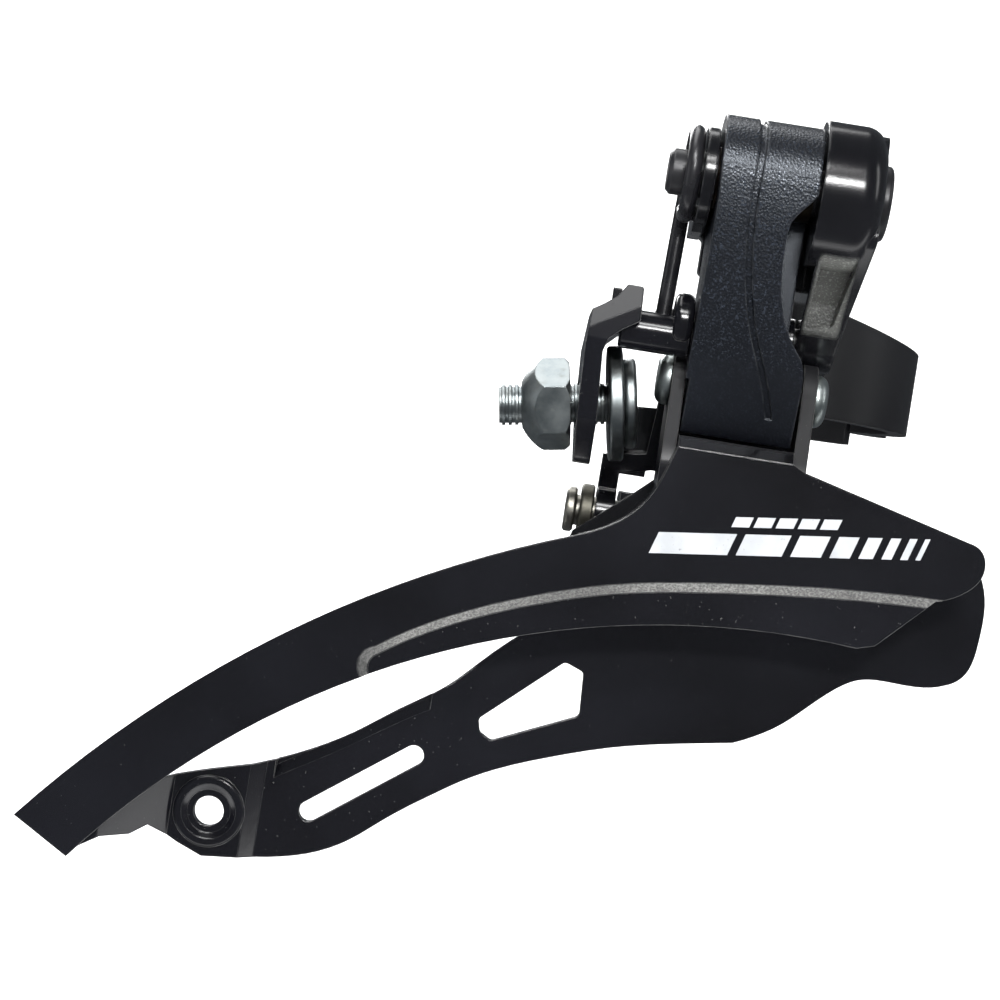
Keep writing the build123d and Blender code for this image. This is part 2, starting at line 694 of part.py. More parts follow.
def make_cage_outer_plate():
    """The pressed outer cage plate with the bridge over the chain and the two pivot ears."""
    outline = cage_outline()
    back = plate_face + plate_thickness
    plate = slab_y(outline, plate_face, back)
    sunk = step_wedge(plate_face)
    pad = step_wedge(back) & slab_y(outline, back, back + step_depth)
    plate = plate + pad - sunk
    plate = plate + cage_bridge() + fold_bevel() + cage_ear(ear_b_rear) + cage_ear(ear_b_front)
    plate = plate + block(ear_b_rear, (-45.2, inner_face), (-18.6, -15.0))
    tab = rounded([(-16.6, -24.6), (-16.6, -19.0), (-14.6, -14.0), (-4.0, -14.0), (-4.0, -24.6)], 0.9)
    tab = slab_y(tab, inner_face - bridge_tab_thickness, inner_face)
    plate = plate + tab - slab_y(outline, inner_face - 0.02, inner_face + 1)
    plate = plate - rod_x(pin_b_radius + 0.03, (-20, 3), pivot_b)
    for x in rivet_x:
        plate = plate - slab_y(disc((x, rivet_height), rivet_hole_radius), inner_face - 2, inner_face + 1)
    return plate - slab_y(disc(tail_rivet_spot, rivet_hole_radius), plate_face + 0.5, -44)


def inner_plan():
    """The inner plate's section from above: flat, stepped out, a flat pad, then out to the other plate."""
    tail_face = plate_face + plate_thickness + 0.03
    line = [
        (26.0, inner_face), (-35.4, inner_face), (-38.6, rear_face), (-58.6, rear_face),
        (-60.4, tail_pad_face), (-69.2, tail_pad_face), (-76.6, tail_face), (-90.0, tail_face),
    ]
    back = [(x, y + inner_thickness) for x, y in reversed(line)]
    return make_face(Polyline(*line, *back, close=True))


def inner_outline():
    """The inner plate's outline in X and Z."""
    lower = Spline(
        (-64.7, -70.8), (-58.2, -70.1), (-51.8, -68.6), (-47.7, -66.5), (-43.5, -63.1), (-38.6, -59.5),
        (-32.5, -55.8), (-25.0, -52.7), (-17.5, -50.3), (-9.6, -48.6), (-3.3, -47.5),
    )
    chin = Spline(
        (-3.3, -47.5), (-1.0, -46.4), (1.6, -44.8), (7.6, -39.4), (10.6, -37.6), (15.0, -37.3), (21.0, -36.6)
    )
    nose = Spline((21.0, -36.6), (23.2, -35.0), (24.3, -30.5), (24.2, -25.5), (21.5, -20.5))
    top = Polyline(
        (21.5, -20.5), (4.0, -16.5), (-14.0, -14.0), (-20.0, -19.5), (-26.5, -25.0), (-30.8, -38.6)
    )
    upper = Spline(
        (-30.8, -38.6), (-34.7, -42.2), (-38.8, -46.2), (-43.8, -49.7), (-48.7, -53.3), (-53.8, -56.3),
        (-58.9, -58.5), (-64.2, -60.0), (-69.4, -61.6), (-77.0, -64.6),
    )
    tail = Polyline(
        (-77.0, -64.6), (-84.4, -68.6), (-79.6, -71.5), (-76.3, -69.4), (-73.2, -69.0), (-71.4, -67.8),
        (-67.8, -69.6), (-64.7, -70.8),
    )
    return make_face(lower + chin + nose + top + upper + tail)


def inner_slot():
    """The long slot of the inner plate, cut right through."""
    slot = Pos(-47.0, -59.3) * Rot(0, 0, 37) * SlotCenterToCenter(14.3, 2.5)
    return slab_y(slot, -50, -30)


def inner_window():
    """The larger window of the inner plate, cut right through."""
    window = rounded(
        [(-34.2, -49.4), (-24.9, -41.0), (-22.5, -41.9), (-22.2, -47.2), (-32.3, -51.8), (-33.8, -51.0)], 0.7
    )
    return slab_y(window, -50, -30)


def flange_band(drop):
    """The band above the ridge of the rolled upper edge; drop moves the ridge towards the edge."""
    points = [
        (-57.6, -60.3), (-55.9, -59.2), (-52.9, -57.4), (-50.2, -55.7), (-45.9, -52.8), (-42.6, -50.6),
        (-40.2, -49.2),
    ]
    ridge = Spline(*[(x, z + drop) for x, z in points])
    return make_face(ridge + Polyline(ridge @ 1, (-40.2 - drop, -42), (-57.6 + drop, -50), ridge @ 0))


def flange_wedge(outer):
    """The volume that the rolled upper edge leaves free in front of it; outer is its outboard Y."""
    bottom = facing(outer + flange_drop) * flange_band(flange_slope)
    return loft([facing(outer) * flange_band(0), bottom], ruled=True)


def tail_boss():
    """A round boss about the tail hole with a sunken seat."""
    front = tail_pad_face - tail_boss_height
    boss = slab_y(disc(tail_hole, tail_boss_radius), front, tail_pad_face + 0.4)
    boss = fillet(boss.edges().filter_by(GeomType.CIRCLE).sort_by(Axis.Y)[:1], 0.35)
    seat = loft([facing(front) * disc(tail_hole, 3.3), facing(tail_pad_face) * disc(tail_hole, 2.6)])
    return boss, seat


def make_cage_inner_plate():
    """The pressed inner cage plate with its windows, rolled edge and lower pivot ears."""
    outline = inner_outline()
    plate = slab_z(inner_plan(), -80, -10) & slab_y(outline, -50, -30)
    back = rear_face + inner_thickness
    pad = flange_wedge(back) & slab_y(outline, back, back + flange_drop)
    plate = plate + pad - flange_wedge(rear_face)
    plate = plate - inner_slot() - inner_window()
    boss, seat = tail_boss()
    plate = plate + boss - seat
    for ends in ear_d_spans:
        foot = make_face(
            Polyline((inner_face + 0.5, -19.4), (pivot_d[0], pivot_d[1] + ear_d_radius),
                     (pivot_d[0], pivot_d[1] - ear_d_radius), (inner_face + 0.5, -27.5), close=True)
        )
        plate = plate + slab_x(foot + disc(pivot_d, ear_d_radius), *ends)
    plate = plate - rod_x(pin_d_radius + 0.1, (-30, 0), pivot_d)
    for x in rivet_x:
        plate = plate - slab_y(disc((x, rivet_height), rivet_hole_radius), inner_face - 1, inner_face + 3)
    plate = plate - slab_y(disc(tail_hole, tail_hole_radius), -50, -30)
    return plate - slab_y(disc(tail_rivet_spot, rivet_hole_radius), -50, -40)


def rivet_y(spot, near, far, radius, head_radius):
    """A rivet along Y with a low head at each end of its grip."""
    shank = slab_y(disc(spot, radius), near - 0.3, far + 0.3)
    heads = slab_y(disc(spot, head_radius), near - 0.8, near - 0.03)
    heads = heads + slab_y(disc(spot, head_radius), far + 0.03, far + 0.9)
    return shank + heads


def make_bridge_rivets():
    grip = (inner_face - bridge_tab_thickness, inner_face + inner_thickness)
    return Compound(children=[rivet_y((x, rivet_height), *grip, rivet_radius, 2.4) for x in rivet_x])


def make_tail_rivet():
    """The rivet that joins the two plates at the tail, set blind into the outer plate."""
    inner_back = plate_face + plate_thickness + 0.03 + inner_thickness
    shank = slab_y(disc(tail_rivet_spot, rivet_radius), plate_face + 0.52, inner_back + 0.3)
    return shank + slab_y(disc(tail_rivet_spot, 2.3), inner_back + 0.03, inner_back + 0.8)


def build():
    inner_c = pin_c_radius + running_clearance
    bush_a_hole = pin_a_radius + running_clearance
    bush_b_hole = pin_b_radius + running_clearance
    parts = {
        "main_bracket": make_main_bracket(),
        "clamp_band": make_clamp_band(),
        "hinge_pin": make_hinge_pin(),
        "clamp_bolt": make_clamp_bolt(),
        "clamp_washer": make_clamp_washer(),
        "upper_pivot_pin": make_upper_pivot_pin(),
        "upper_bush_rear": make_bush(bush_a_radius - 0.02, bush_a_hole, (-16.6, -13.0), pivot_a),
        "upper_bush_front": make_bush(bush_a_radius - 0.02, bush_a_hole, (-8.6, -4.95), pivot_a),
        "return_spring": make_return_spring(),
        "outer_link": make_outer_link(),
        "arm_shaft": make_arm_shaft(),
        "spring_collar": make_spring_collar(),
        "cable_arm": make_cable_arm(),
        "anchor_bolt": make_anchor_bolt(),
        "cable_washer": make_cable_washer(),
        "anchor_nut": make_anchor_nut(),
        "inner_link": make_inner_link(),
        "inner_upper_pin": make_inner_upper_pin(),
        "inner_upper_bush": make_bush(bush_a_radius - 1.22, inner_c, link_c_eye, pivot_c),
        "inner_lower_pin": make_inner_lower_pin(),
        "pivot_washer": make_pivot_washer(),
        "lower_pivot_pin": make_lower_pivot_pin(),
        "lower_bush": make_bush(bush_b_radius - 0.02, bush_b_hole, (-15.8, -2.5), pivot_b),
        "cage_outer_plate": make_cage_outer_plate(),
        "cage_inner_plate": make_cage_inner_plate(),
        "bridge_rivets": make_bridge_rivets(),
        "tail_rivet": make_tail_rivet(),
        "low_limit_screw": limit_screw(limit_screw_heights[0]),
        "high_limit_screw": limit_screw(limit_screw_heights[1]),
    }
    os.makedirs("parts", exist_ok=True)
    for name, shape in parts.items():
        export_step(shape, f"parts/{name}.step")


build()
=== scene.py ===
from math import cos, radians, sin

import bmesh
import bpy
from mathutils import Matrix, Vector


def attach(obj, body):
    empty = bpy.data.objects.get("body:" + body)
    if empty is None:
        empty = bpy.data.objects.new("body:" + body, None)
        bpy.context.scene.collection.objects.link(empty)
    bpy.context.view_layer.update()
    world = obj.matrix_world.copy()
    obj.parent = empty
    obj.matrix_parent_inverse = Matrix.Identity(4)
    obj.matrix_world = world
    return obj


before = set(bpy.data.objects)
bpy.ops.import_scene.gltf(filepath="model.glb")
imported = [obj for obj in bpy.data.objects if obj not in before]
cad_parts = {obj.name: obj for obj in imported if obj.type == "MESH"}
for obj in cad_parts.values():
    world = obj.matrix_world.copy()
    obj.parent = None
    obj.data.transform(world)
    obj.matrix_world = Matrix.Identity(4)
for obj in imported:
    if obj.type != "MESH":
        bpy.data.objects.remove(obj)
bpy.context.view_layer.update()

MM = 0.001

# The camera looks along +Y at the drive side, with the seat tube leaning to the right.
CAMERA_PLACE = Vector((-35.8, -374.0, -22.8)) * MM
CAMERA_ROLL = radians(9.02)
CAMERA_LENS = 100.0

# The studio's ground is square to the picture, a little below the cage's tail. It runs back to
# its foot, bends up and ends as a wall; these are metres from the part's origin.
PICTURE_UP = Vector((-sin(CAMERA_ROLL), 0, cos(CAMERA_ROLL)))
PICTURE_RIGHT = Vector((cos(CAMERA_ROLL), 0, sin(CAMERA_ROLL)))
GROUND_DROP = 78 * MM
GROUND_NEAR, GROUND_FOOT, WALL_TOP = -3.0, 0.5, 2.4
GROUND_HALF_WIDTH = 3.0
GROUND_BEND = 0.5
BEND_STEPS = 12

# The outer plate's finish: its pressed slope's limits in depth, in height and towards the tail, inside which it
# carries a painted highlight, and where its satin pivot ears begin.
SLOPE_START, SLOPE_END = -47.97 * MM, -46.86 * MM
SLOPE_TOP = -20 * MM
SLOPE_TAIL = -51 * MM
EARS_BOTTOM, EARS_FACE = -16 * MM, -46.8 * MM

# The outer link's smooth scoop, the bracket's sunken panel as low and high sides, and the depths
# between which its gloss turns to the ring's satin.
SCOOP_FLOOR = -47.6 * MM
SCOOP_BOTTOM = 1.0 * MM
SCOOP_REAR = -9.5 * MM
PANEL_X = (-3.4 * MM, 1.4 * MM)
PANEL_Y = (-49.8 * MM, -34.5 * MM)
PANEL_Z = (2.4 * MM, 13.6 * MM)
RING_START, RING_FULL = -30 * MM, -24 * MM


# ---------------------------------------------------------------- camera, light and ground


def make_camera():
    data = bpy.data.cameras.new("camera")
    data.lens = CAMERA_LENS
    data.sensor_width = 36.0
    data.clip_start = 0.01
    camera = bpy.data.objects.new("camera", data)
    bpy.context.scene.collection.objects.link(camera)
    toward = -PICTURE_RIGHT.cross(PICTURE_UP)
    turn = Matrix((PICTURE_RIGHT, PICTURE_UP, -toward)).transposed()
    camera.matrix_world = Matrix.Translation(CAMERA_PLACE) @ turn.to_4x4()
    bpy.context.scene.camera = camera


def area_light(name, place, aim, size, power):
    """A soft box at a place, pointed at another; place and aim are right, back and up in metres."""
    data = bpy.data.lights.new(name, "AREA")
    data.shape = "RECTANGLE"
    data.size, data.size_y = size
    data.energy = power
    light = bpy.data.objects.new(name, data)
    bpy.context.scene.collection.objects.link(light)
    spot = studio_point(*place)
    direction = studio_point(*aim) - spot
    turn = direction.to_track_quat("-Z", "Y").to_matrix().to_4x4()
    light.matrix_world = Matrix.Translation(spot) @ turn


def studio_point(right, back, up):
    return PICTURE_RIGHT * right + Vector((0, 1, 0)) * back + PICTURE_UP * up


def make_ground():
    """A pale sheet that runs back and curves up into a wall."""
    mesh = bpy.data.meshes.new("ground")
    shape = bmesh.new()
    profile = [(GROUND_NEAR, -GROUND_DROP), (GROUND_FOOT, -GROUND_DROP)]
    for step in range(1, BEND_STEPS + 1):
        angle = radians(90 * step / BEND_STEPS)
        rise = GROUND_BEND * (1 - cos(angle))
        profile.append((GROUND_FOOT + GROUND_BEND * sin(angle), -GROUND_DROP + rise))
    profile.append((GROUND_FOOT + GROUND_BEND, WALL_TOP))
    sides = (-GROUND_HALF_WIDTH, GROUND_HALF_WIDTH)
    rows = []
    for back, up in profile:
        rows.append([shape.verts.new(studio_point(right, back, up)) for right in sides])
    for low, high in zip(rows, rows[1:]):
        shape.faces.new((low[0], low[1], high[1], high[0]))
    shape.to_mesh(mesh)
    shape.free()
    for face in mesh.polygons:
        face.use_smooth = True
    ground = bpy.data.objects.new("ground", mesh)
    bpy.context.scene.collection.objects.link(ground)
    ground.data.materials.append(ground_material())
    ground.visible_glossy = False


def ground_material():
    kit = Nodes("pale_ground")
    kit.shader.inputs["Base Color"].default_value = (0.9, 0.9, 0.9, 1)
    kit.shader.inputs["Roughness"].default_value = 0.9
    kit.shader.inputs["Emission Color"].default_value = (1, 1, 1, 1)
    kit.shader.inputs["Emission Strength"].default_value = 0.62
    return kit.material


def make_lights():
    """A small bright box above and behind the camera, soft boxes all round, and a strip below.

    The strip lies along the cage: a light that points straight up has its second size along X.
    """
    area_light("flash_box", (0.07, -0.62, 0.19), (-0.02, -0.04, 0.0), (0.1, 0.06), 1.7)
    area_light("key_box", (-0.06, -0.60, 0.46), (-0.02, -0.03, 0.0), (0.34, 0.12), 3.0)
    area_light("top_box", (-0.1, 0.1, 0.7), (0, 0, 0), (0.8, 0.35), 3.0)
    area_light("back_box", (-0.2, 0.8, 0.42), (0, 0, 0), (0.5, 0.35), 5.0)
    area_light("left_box", (-0.8, -0.15, 0.15), (0, 0, 0), (0.12, 0.5), 0.35)
    area_light("right_box", (0.75, -0.25, 0.2), (0, 0, 0), (0.14, 0.5), 0.8)
    area_light("under_strip", (-0.03, -0.052, -0.0765), (-0.03, -0.052, 0.0), (0.014, 0.3), 0.032)
    world = bpy.data.worlds.new("studio")
    bpy.context.scene.world = world
    world.use_nodes = True
    backdrop = world.node_tree.nodes["Background"]
    backdrop.inputs["Color"].default_value = (0.86, 0.92, 1.0, 1)
    backdrop.inputs["Strength"].default_value = 0.12
    bpy.context.scene.view_settings.view_transform = "Standard"


# ---------------------------------------------------------------- material helpers


class Nodes:
    """A material and short calls that add its shader nodes. Coordinates are the object's own, in metres."""

    def __init__(self, name):
        self.material = bpy.data.materials.new(name)
        self.material.use_nodes = True
        self.tree = self.material.node_tree
        self.shader = self.tree.nodes["Principled BSDF"]
        self.place = self.add("ShaderNodeTexCoord").outputs["Object"]

    def add(self, kind, **settings):
        node = self.tree.nodes.new(kind)
        for key, value in settings.items():
            setattr(node, key, value)
        return node

    def link(self, source, target):
        self.tree.links.new(source, target)

    def feed(self, socket, value):
        """Connects a socket, or sets it where the value is plain."""
        if isinstance(value, bpy.types.NodeSocket):
            self.link(value, socket)
        else:
            socket.default_value = value

    def math(self, operation, a, b=0.0, clamp=False):
        node = self.add("ShaderNodeMath", operation=operation, use_clamp=clamp)
        self.feed(node.inputs[0], a)
        self.feed(node.inputs[1], b)
        return node.outputs[0]

    def noise(self, scale, detail=2.0, roughness=0.5, stretch=None):
        node = self.add("ShaderNodeTexNoise")
        node.inputs["Scale"].default_value = scale
        node.inputs["Detail"].default_value = detail
        node.inputs["Roughness"].default_value = roughness
        source = self.place
        if stretch:
            mapping = self.add("ShaderNodeMapping")
            mapping.inputs["Scale"].default_value = stretch
            self.link(self.place, mapping.inputs["Vector"])
            source = mapping.outputs["Vector"]
        self.link(source, node.inputs["Vector"])
        return node.outputs["Fac"]

    def cells(self, scale):
        node = self.add("ShaderNodeTexVoronoi", feature="F1")
        node.inputs["Scale"].default_value = scale
        self.link(self.place, node.inputs["Vector"])
        return node.outputs["Distance"]

    def band(self, value, low, high, to_low=0.0, to_high=1.0):
        """Maps a value from one range to another, clamped."""
        node = self.add("ShaderNodeMapRange")
        self.feed(node.inputs["Value"], value)
        node.inputs["From Min"].default_value = low
        node.inputs["From Max"].default_value = high
        node.inputs["To Min"].default_value = to_low
        node.inputs["To Max"].default_value = to_high
        return node.outputs["Result"]

    def mix(self, amount, a, b):
        node = self.add("ShaderNodeMix", data_type="RGBA")
        self.feed(node.inputs["Factor"], amount)
        self.feed(node.inputs[6], a)
        self.feed(node.inputs[7], b)
        return node.outputs[2]

    def blend(self, amount, a, b):
        node = self.add("ShaderNodeMix", data_type="FLOAT")
        self.feed(node.inputs["Factor"], amount)
        self.feed(node.inputs[2], a)
        self.feed(node.inputs[3], b)
        return node.outputs[0]

    def soft_edges(self, radius):
        node = self.add("ShaderNodeBevel", samples=6)
        node.inputs["Radius"].default_value = radius
        return node.outputs["Normal"]

    def edge_mask(self, radius):
        """About 1 on a square edge and 0 on a flat face or a shallow fold."""
        rounded = self.soft_edges(radius)
        flat = self.add("ShaderNodeNewGeometry").outputs["Normal"]
        dot = self.add("ShaderNodeVectorMath", operation="DOT_PRODUCT")
        self.link(rounded, dot.inputs[0])
        self.link(flat, dot.inputs[1])
        return self.band(dot.outputs["Value"], 0.975, 0.86)

    def bump(self, layers, edge_radius):
        """Bump layers of (height, strength, distance) over softened edges, into the shader's normal."""
        normal = self.soft_edges(edge_radius)
        for height, strength, distance in layers:
            node = self.add("ShaderNodeBump")
            self.feed(node.inputs["Strength"], strength)
            node.inputs["Distance"].default_value = distance
            self.feed(node.inputs["Height"], height)
            self.link(normal, node.inputs["Normal"])
            normal = node.outputs["Normal"]
        self.link(normal, self.shader.inputs["Normal"])

    def axis(self, name):
        """The object's X, Y or Z at the shaded point, in metres."""
        node = self.add("ShaderNodeSeparateXYZ")
        self.link(self.place, node.inputs[0])
        return node.outputs[name]


def gloss_black(name="gloss_black", pressed_step=False):
    """Glossy black enamel with a faint orange peel, dust specks, and lighter edges that are partly thin wear and
    partly a painted rim highlight.

    With pressed_step, the slope pressed into the outer plate is rougher and grainy, as enamel is over a drawn
    bend, and its grains are turned light grey in patches as a painted highlight, fading towards the tail; the
    plate's pivot ears are satin.
    """
    kit = Nodes(name)
    clouds = kit.noise(45, 3)
    peel = kit.noise(900, 2)
    fine = kit.noise(5200, 2)
    dust = kit.band(kit.noise(3000, 1), 0.75, 0.81)
    worn = kit.edge_mask(0.16 * MM)
    edges = kit.math("MULTIPLY", worn, kit.band(kit.noise(300, 4), 0.36, 0.6, 0.25, 1.0))
    colour = kit.mix(kit.band(clouds, 0.3, 0.7), (0.0035, 0.0035, 0.0045, 1), (0.0065, 0.0068, 0.0095, 1))
    colour = kit.mix(kit.math("MULTIPLY", dust, 0.4), colour, (0.12, 0.12, 0.11, 1))
    # Lighter grey on the edges: partly worn enamel, partly a painted rim highlight.
    colour = kit.mix(kit.math("MULTIPLY", edges, 0.6), colour, (0.26, 0.26, 0.25, 1))
    rough = kit.band(clouds, 0.25, 0.75, 0.15, 0.21)
    rough = kit.math("ADD", rough, kit.math("MULTIPLY", dust, 0.25))
    layers = [(peel, 0.05, 0.14 * MM), (fine, 0.04, 0.03 * MM), (dust, 0.3, 0.05 * MM)]
    if pressed_step:
        y = kit.axis("Y")
        z = kit.axis("Z")
        start = kit.band(y, SLOPE_START, SLOPE_START + 0.12 * MM)
        slope = kit.math("MULTIPLY", start, kit.band(y, SLOPE_END, SLOPE_END - 0.12 * MM))
        slope = kit.math("MULTIPLY", slope, kit.band(z, SLOPE_TOP, SLOPE_TOP - 1 * MM))
        fade = kit.band(kit.axis("X"), SLOPE_TAIL, SLOPE_TAIL + 6 * MM, 0.1, 1.0)
        slope = kit.math("MULTIPLY", slope, fade)
        high = kit.band(z, EARS_BOTTOM, EARS_BOTTOM + 3 * MM)
        ears = kit.math("MULTIPLY", high, kit.band(y, EARS_FACE, EARS_FACE + 0.6 * MM))
        grain = kit.band(kit.noise(3600, 2, 0.7), 0.42, 0.62)
        painted_sheen_patches = kit.band(kit.noise(60, 3), 0.3, 0.6, 0.5, 1.0)
        painted_sheen_grain = kit.math("MULTIPLY", painted_sheen_patches, kit.band(grain, 0, 1, 0.35, 1.0))
        amount = kit.math("MULTIPLY", slope, painted_sheen_grain)
        # Painted highlight: the slope's grains are turned light grey where light would catch the pressed slope.
        colour = kit.mix(kit.math("MULTIPLY", amount, 0.85), colour, (0.32, 0.32, 0.305, 1))
        rough = kit.blend(slope, rough, 0.42)
        rough = kit.blend(ears, rough, 0.62)
        layers.append((grain, kit.math("MULTIPLY", slope, 0.5), 0.08 * MM))
    kit.link(colour, kit.shader.inputs["Base Color"])
    kit.link(rough, kit.shader.inputs["Roughness"])
    kit.bump(layers, 0.3 * MM)
    return kit.material


def speckled(kit):
    """A shot-blasted casting under paint: its height, and a mask of its bright grains."""
    grain = kit.noise(3900, 2, 0.6)
    pits = kit.cells(3300)
    height = kit.math("ADD", kit.math("MULTIPLY", grain, 0.6), kit.math("MULTIPLY", pits, 0.8))
    sparkle = kit.band(kit.noise(3700, 1), 0.58, 0.66)
    return height, sparkle


def textured_black():
    """Dark blue-black textured paint of the cast link, with a fine sparkling grain whose lighter specks are
    partly the grain's own tone and partly painted light, stronger towards the top.
    """
    kit = Nodes("textured_black")
    clouds = kit.noise(60, 3)
    height, sparkle = speckled(kit)
    y = kit.axis("Y")
    z = kit.axis("Z")
    deep = kit.band(y, SCOOP_FLOOR, SCOOP_FLOOR + 1.2 * MM)
    scoop = kit.math("MULTIPLY", deep, kit.band(z, SCOOP_BOTTOM, SCOOP_BOTTOM + 2 * MM))
    front = kit.band(kit.axis("X"), SCOOP_REAR, SCOOP_REAR + 1 * MM)
    scoop = kit.math("MULTIPLY", scoop, front)
    # Painted light: the lighter specks grow stronger towards the top of the link, where light falls on it.
    painted_top_light = kit.band(z, -4 * MM, 6 * MM, 0.25, 1.0)
    sparkle = kit.math("MULTIPLY", kit.math("MULTIPLY", sparkle, painted_top_light), kit.math("SUBTRACT", 1.0, scoop))
    edges = kit.math("MULTIPLY", kit.edge_mask(0.3 * MM), kit.band(kit.noise(500, 3), 0.4, 0.6))
    colour = kit.mix(kit.band(clouds, 0.3, 0.7), (0.003, 0.0034, 0.0052, 1), (0.0052, 0.006, 0.009, 1))
    colour = kit.mix(kit.math("MULTIPLY", sparkle, 0.5), colour, (0.045, 0.054, 0.072, 1))
    colour = kit.mix(kit.math("MULTIPLY", edges, 0.3), colour, (0.1, 0.105, 0.11, 1))
    kit.link(colour, kit.shader.inputs["Base Color"])
    rough = kit.blend(scoop, kit.band(sparkle, 0, 1, 0.34, 0.16), 0.24)
    kit.link(rough, kit.shader.inputs["Roughness"])
    kit.shader.inputs["Specular IOR Level"].default_value = 0.7
    kit.shader.inputs["Specular Tint"].default_value = (0.86, 0.92, 1.0, 1)
    kit.bump([(height, kit.band(scoop, 0, 1, 0.36, 0.04), 0.12 * MM)], 0.4 * MM)
    return kit.material


def within(kit, value, sides, soft):
    """A mask that is 1 between two sides and fades out over the soft width inside them."""
    low, high = sides
    return kit.math("MULTIPLY", kit.band(value, high, high - soft), kit.band(value, low, low + soft))


def bracket_black():
    """The bracket's finish: glossy boss, textured sunken panel, satin clamp ring."""
    kit = Nodes("bracket_black")
    clouds = kit.noise(50, 3)
    fine = kit.noise(3200, 2)
    height, sparkle = speckled(kit)
    y = kit.axis("Y")
    ring = kit.band(y, RING_START, RING_FULL)
    inside_x = within(kit, kit.axis("X"), PANEL_X, 0.6 * MM)
    inside_z = within(kit, kit.axis("Z"), PANEL_Z, 1 * MM)
    inside_y = within(kit, y, PANEL_Y, 1 * MM)
    panel = kit.math("MULTIPLY", kit.math("MULTIPLY", inside_x, inside_z), inside_y)
    edges = kit.math("MULTIPLY", kit.edge_mask(0.25 * MM), kit.band(kit.noise(420, 4), 0.42, 0.62))
    colour = kit.mix(kit.band(clouds, 0.3, 0.7), (0.0035, 0.0035, 0.0045, 1), (0.0065, 0.0068, 0.0085, 1))
    bright = kit.math("MULTIPLY", panel, kit.band(sparkle, 0, 1, 0.5, 1.0))
    colour = kit.mix(bright, colour, (0.2, 0.205, 0.19, 1))
    colour = kit.mix(kit.math("MULTIPLY", edges, 0.35), colour, (0.15, 0.155, 0.16, 1))
    kit.link(colour, kit.shader.inputs["Base Color"])
    rough = kit.band(clouds, 0.25, 0.75, 0.16, 0.24)
    rough = kit.blend(ring, rough, kit.band(clouds, 0.25, 0.75, 0.4, 0.5))
    rough = kit.blend(panel, rough, 0.4)
    kit.link(rough, kit.shader.inputs["Roughness"])
    strength = kit.math("ADD", kit.math("MULTIPLY", panel, 0.5), 0.03)
    kit.bump([(height, strength, 0.16 * MM), (fine, 0.06, 0.03 * MM)], 0.45 * MM)
    return kit.material


def black_steel(name, rough_low, rough_high):
    """Black oxide on steel, with fine turned rings and a little bare metal on the edges."""
    kit = Nodes(name)
    clouds = kit.noise(220, 4)
    turned = kit.noise(900, 2, stretch=(8, 1, 1))
    edges = kit.math("MULTIPLY", kit.edge_mask(0.2 * MM), kit.band(kit.noise(900, 3), 0.4, 0.65))
    colour = kit.mix(kit.band(clouds, 0.3, 0.7), (0.008, 0.008, 0.010, 1), (0.022, 0.022, 0.025, 1))
    colour = kit.mix(kit.math("MULTIPLY", edges, 0.5), colour, (0.24, 0.24, 0.24, 1))
    kit.link(colour, kit.shader.inputs["Base Color"])
    kit.link(kit.band(clouds, 0.25, 0.75, rough_low, rough_high), kit.shader.inputs["Roughness"])
    kit.shader.inputs["Metallic"].default_value = 0.25
    kit.shader.inputs["Specular IOR Level"].default_value = 0.7
    kit.bump([(turned, 0.12, 0.04 * MM)], 0.25 * MM)
    return kit.material


def plated(name, light, dark, rough_low, rough_high, stain):
    """A plated steel: bright metal, mottled, with brushed lines and a thin stain in spots."""
    kit = Nodes(name)
    mottle = kit.noise(320, 4, 0.6)
    brushed = kit.noise(1500, 3, stretch=(1, 9, 9))
    spots = kit.band(kit.noise(700, 5, 0.65), 0.56, 0.74)
    colour = kit.mix(kit.band(mottle, 0.3, 0.7), dark, light)
    colour = kit.mix(kit.math("MULTIPLY", spots, 0.45), colour, stain)
    kit.link(colour, kit.shader.inputs["Base Color"])
    kit.shader.inputs["Metallic"].default_value = 1.0
    rough = kit.band(mottle, 0.3, 0.7, rough_low, rough_high)
    rough = kit.math("ADD", rough, kit.math("MULTIPLY", spots, 0.14))
    kit.link(rough, kit.shader.inputs["Roughness"])
    kit.bump([(brushed, 0.16, 0.04 * MM), (mottle, 0.12, 0.12 * MM)], 0.25 * MM)
    return kit.material


def bronze():
    """Porous sintered bronze with dark oil in its pores."""
    kit = Nodes("bush_bronze")
    pores = kit.band(kit.cells(2600), 0.1, 0.35)
    tone = kit.noise(260, 3)
    colour = kit.mix(kit.band(tone, 0.3, 0.7), (0.02, 0.016, 0.011, 1), (0.045, 0.034, 0.021, 1))
    colour = kit.mix(pores, (0.015, 0.012, 0.009, 1), colour)
    kit.link(colour, kit.shader.inputs["Base Color"])
    kit.shader.inputs["Metallic"].default_value = 0.9
    kit.link(kit.band(tone, 0.3, 0.7, 0.35, 0.55), kit.shader.inputs["Roughness"])
    kit.bump([(pores, 0.3, 0.05 * MM)], 0.2 * MM)
    return kit.material


def printed_white():
    """White printed ink: slightly uneven, with fine worn specks."""
    kit = Nodes("printed_white")
    tone = kit.noise(300, 3)
    worn = kit.band(kit.noise(2600, 3), 0.66, 0.74)
    colour = kit.mix(kit.band(tone, 0.3, 0.7), (0.46, 0.48, 0.5, 1), (0.6, 0.61, 0.63, 1))
    colour = kit.mix(kit.math("MULTIPLY", worn, 0.7), colour, (0.2, 0.2, 0.21, 1))
    kit.link(colour, kit.shader.inputs["Base Color"])
    kit.link(kit.band(tone, 0.3, 0.7, 0.42, 0.6), kit.shader.inputs["Roughness"])
    kit.bump([(kit.noise(2600, 3), 0.15, 0.02 * MM)], 0.05 * MM)
    return kit.material


# ---------------------------------------------------------------- printed graphic on the cage


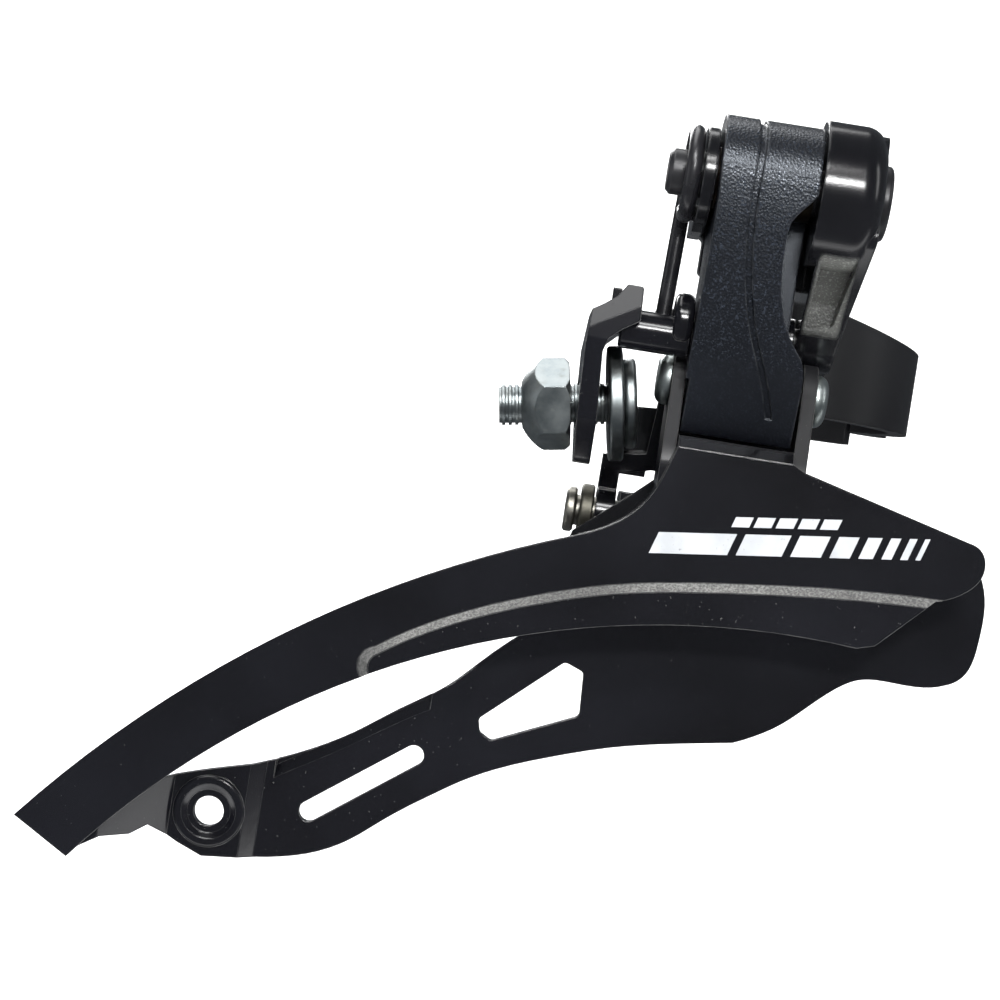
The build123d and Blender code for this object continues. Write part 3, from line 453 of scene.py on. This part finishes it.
def flat_bar(shape, corners, face, thickness):
    """A thin closed bar on a face across Y; corners are X and Z in millimetres, anticlockwise."""
    near = [shape.verts.new(Vector((x, face - thickness, z)) * MM) for x, z in corners]
    far = [shape.verts.new(Vector((x, face, z)) * MM) for x, z in corners]
    shape.faces.new(near)
    shape.faces.new(list(reversed(far)))
    count = len(corners)
    for i in range(count):
        j = (i + 1) % count
        shape.faces.new((near[i], far[i], far[j], near[j]))


# The graphic in millimetres: its lower left corner in X and Z, its face just proud of the plate,
# and its two rows of bars as low and high sides. The large bars are given by their left side and
# width along the graphic's line, and narrow forward.
GRAPHIC_CORNER = (-17.6, -26.2)
GRAPHIC_FACE = -48.005
GRAPHIC_THICKNESS = 0.03
GRAPHIC_TURN = CAMERA_ROLL - radians(1.6)
LARGE_BARS = [
    (0.0, 9.2), (10.2, 5.4), (16.6, 3.6), (21.2, 2.4), (24.6, 1.7), (27.3, 1.2), (29.5, 0.9), (31.3, 0.6)
]
LARGE_ROW = (0.0, 2.5)
SMALL_ROW = (3.3, 4.5)
SMALL_BAR_START, SMALL_BAR_PITCH, SMALL_BAR_WIDTH, SMALL_BARS = 9.6, 2.6, 2.1, 5
BAR_LEAN = 0.45


def leaning_bar(left, width, low, high):
    """A bar that leans forward, as corners in X and Z, placed along the graphic's own line."""
    lean = BAR_LEAN * (high - low)
    corners = [(left, low), (left + width, low), (left + width + lean, high), (left + lean, high)]
    across, up = cos(GRAPHIC_TURN), sin(GRAPHIC_TURN)
    x, z = GRAPHIC_CORNER
    return [(x + u * across - v * up, z + u * up + v * across) for u, v in corners]


def make_graphic():
    """A plain printed graphic of leaning bars, with no lettering, where the plate carries its print."""
    mesh = bpy.data.meshes.new("cage_graphic")
    shape = bmesh.new()
    bars = [leaning_bar(left, width, *LARGE_ROW) for left, width in LARGE_BARS]
    for step in range(SMALL_BARS):
        left = SMALL_BAR_START + SMALL_BAR_PITCH * step
        bars.append(leaning_bar(left, SMALL_BAR_WIDTH, *SMALL_ROW))
    for corners in bars:
        flat_bar(shape, corners, GRAPHIC_FACE, GRAPHIC_THICKNESS)
    shape.to_mesh(mesh)
    shape.free()
    graphic = bpy.data.objects.new("cage_graphic", mesh)
    bpy.context.scene.collection.objects.link(graphic)
    mesh.materials.append(printed_white())
    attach(graphic, "cage")


# ---------------------------------------------------------------- finish each node


def paint(names, material):
    for name in names:
        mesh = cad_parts[name].data
        mesh.materials.clear()
        mesh.materials.append(material)


def paint_all():
    paint(["cage_outer_plate"], gloss_black("stepped_gloss_black", pressed_step=True))
    enamelled = ["cage_inner_plate", "cable_arm", "inner_link", "arm_shaft", "spring_collar", "tail_rivet"]
    paint(enamelled, gloss_black())
    paint(["outer_link"], textured_black())
    paint(["main_bracket", "clamp_band"], bracket_black())
    blackened = ["upper_pivot_pin", "inner_upper_pin", "hinge_pin", "clamp_bolt"]
    paint(blackened, black_steel("black_steel", 0.28, 0.42))
    paint(["return_spring"], black_steel("spring_steel", 0.2, 0.34))

    zinc = plated(
        "zinc", (0.4, 0.43, 0.43, 1), (0.22, 0.25, 0.26, 1), 0.32, 0.46, stain=(0.26, 0.26, 0.22, 1)
    )
    screws = ["anchor_bolt", "anchor_nut", "cable_washer", "clamp_washer", "low_limit_screw", "high_limit_screw"]
    paint(screws, zinc)
    grey = plated(
        "grey_steel", (0.42, 0.41, 0.37, 1), (0.24, 0.23, 0.2, 1), 0.32, 0.48, stain=(0.12, 0.11, 0.09, 1)
    )
    paint(["inner_lower_pin"], grey)
    rivet = plated(
        "rivet_steel", (0.6, 0.65, 0.64, 1), (0.4, 0.45, 0.44, 1), 0.3, 0.44, stain=(0.25, 0.27, 0.25, 1)
    )
    paint(["lower_pivot_pin", "bridge_rivets"], rivet)
    dull = plated(
        "dark_washer", (0.16, 0.155, 0.13, 1), (0.09, 0.085, 0.07, 1), 0.4, 0.55, stain=(0.06, 0.055, 0.045, 1)
    )
    paint(["pivot_washer"], dull)
    paint(["upper_bush_rear", "upper_bush_front", "inner_upper_bush", "lower_bush"], bronze())


make_camera()
make_ground()
make_lights()
paint_all()
make_graphic()
